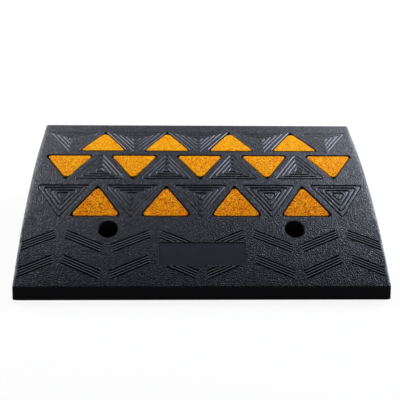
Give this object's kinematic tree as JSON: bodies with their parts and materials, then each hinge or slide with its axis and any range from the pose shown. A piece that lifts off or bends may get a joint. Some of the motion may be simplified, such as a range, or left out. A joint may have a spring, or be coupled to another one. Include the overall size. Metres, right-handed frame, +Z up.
{
  "type": "rubber kerb ramp",
  "caption": "Thick rubber ramp block with a curved slope that lies against a kerb, with reflective triangular inlays, engraved triangles, chevron tread and recessed bolt holes.",
  "frame": {"origin": "centre of the footprint, on the road", "axes": "+X along the kerb, +Y towards the kerb, +Z up"},
  "size_m": [0.5, 0.36, 0.1],
  "materials": {
    "rubber": "pebbled, matt",
    "reflector": "beaded, slightly glossy",
    "washer_steel": "dull zinc plate"
  },
  "bodies": {
    "root": {"ramp_body": "rubber", "reflector_back_1": "reflector", "reflector_back_2": "reflector", "reflector_back_3": "reflector", "reflector_back_4": "reflector", "reflector_middle_1": "reflector", "reflector_middle_2": "reflector", "reflector_middle_3": "reflector", "reflector_middle_4": "reflector", "reflector_middle_5": "reflector", "reflector_front_1": "reflector", "reflector_front_2": "reflector", "reflector_front_3": "reflector", "reflector_front_4": "reflector", "seat_washer_left": "washer_steel", "seat_washer_right": "washer_steel"}
  },
  "joints": []
}
